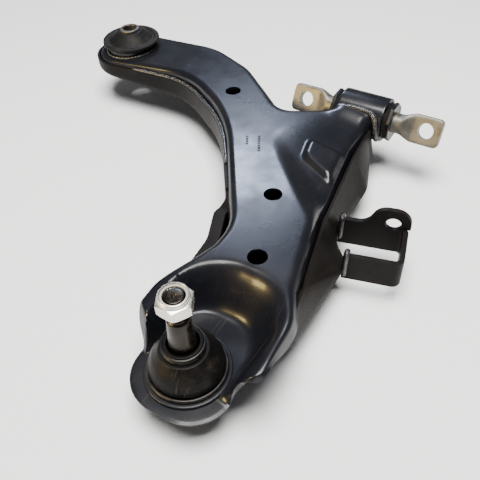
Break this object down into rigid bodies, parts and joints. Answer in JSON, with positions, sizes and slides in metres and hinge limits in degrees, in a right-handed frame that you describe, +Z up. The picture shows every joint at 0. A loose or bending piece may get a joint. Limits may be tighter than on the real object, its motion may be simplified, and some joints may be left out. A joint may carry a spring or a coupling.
{
  "type": "suspension control arm",
  "caption": "Pressed-steel lower control arm with an upright rear bush, a front bush with a two-eyed bar, a U strap and a booted ball joint with its lock nut.",
  "frame": {"origin": "centre of the rear bush's sleeve bore", "axes": "+Z up along the rear sleeve and the ball stud, +Y forward along the pivot line through the front bush, +X outboard towards the ball joint"},
  "size_m": [0.3774, 0.4168, 0.1082],
  "materials": {
    "e_coat": "gloss black electro-coat",
    "weld": "black coated weld bead",
    "rubber": "matte moulded rubber",
    "boot_rubber": "matte dusty rubber",
    "steel": "bare machined steel",
    "stud_steel": "oiled machined steel",
    "zinc_bar": "dull zinc-plated forging",
    "nut_zinc": "bright zinc plate",
    "ring_steel": "dark spring steel",
    "seat_plastic": "natural acetal",
    "lock_plastic": "nylon locking ring"
  },
  "bodies": {
    "arm": {"upper_shell": "e_coat", "lower_shell": "e_coat", "seam_weld_outboard": "weld", "seam_weld_inboard": "weld", "rear_bush_collar": "e_coat", "rear_collar_weld": "weld", "rear_bush_can": "steel", "rear_bush_rubber": "rubber", "front_bush_tube": "e_coat", "front_tube_weld": "weld", "front_bush_can": "steel", "front_bush_rubber": "rubber", "link_strap": "e_coat", "strap_weld_outboard": "weld", "strap_weld_inboard": "weld", "ball_joint_housing": "e_coat", "ball_joint_cover": "e_coat", "ball_seat": "seat_plastic", "boot_base_ring": "ring_steel"},
    "front_bar": {"front_bush_bar": "zinc_bar", "front_seal_forward": "rubber", "front_plate_forward": "e_coat", "front_seal_rearward": "rubber", "front_plate_rearward": "e_coat"},
    "rear_sleeve": {"rear_bush_sleeve": "steel"},
    "boot": {"dust_boot": "boot_rubber"},
    "neck_ring": {"boot_neck_ring": "ring_steel"},
    "stud": {"ball_stud": "stud_steel", "stud_nut": "nut_zinc", "nut_lock_ring": "lock_plastic"}
  },
  "joints": [
    {"name": "bar_twist", "type": "hinge", "parent": "arm", "child": "front_bar", "pos_m": [0, 0.278, 0], "axis": [0, 1, 0], "range_deg": [-15, 15], "stiffness_Nm_per_rad": 30},
    {"name": "rear_sleeve_tilt", "type": "hinge", "parent": "arm", "child": "rear_sleeve", "pos_m": [0, 0, 0], "axis": [0, 1, 0], "range_deg": [-15, 15], "stiffness_Nm_per_rad": 20, "deforming": ["rear_bush_rubber"]},
    {"name": "stud_swing_fore", "type": "hinge", "parent": "arm", "child": "boot", "pos_m": [0.299, 0.282, -0.034], "axis": [1, 0, 0], "range_deg": [-20, 20], "deforming": ["dust_boot"]},
    {"name": "stud_swing_side", "type": "hinge", "parent": "boot", "child": "neck_ring", "pos_m": [0.299, 0.282, -0.034], "axis": [0, 1, 0], "range_deg": [-20, 20], "deforming": ["dust_boot"]},
    {"name": "stud_spin", "type": "hinge", "parent": "neck_ring", "child": "stud", "pos_m": [0.299, 0.282, -0.034], "axis": [0, 0, 1], "continuous": true}
  ],
  "couplings": [
    {"joint": "rear_sleeve_tilt", "follows": "bar_twist", "ratio": 1}
  ]
}
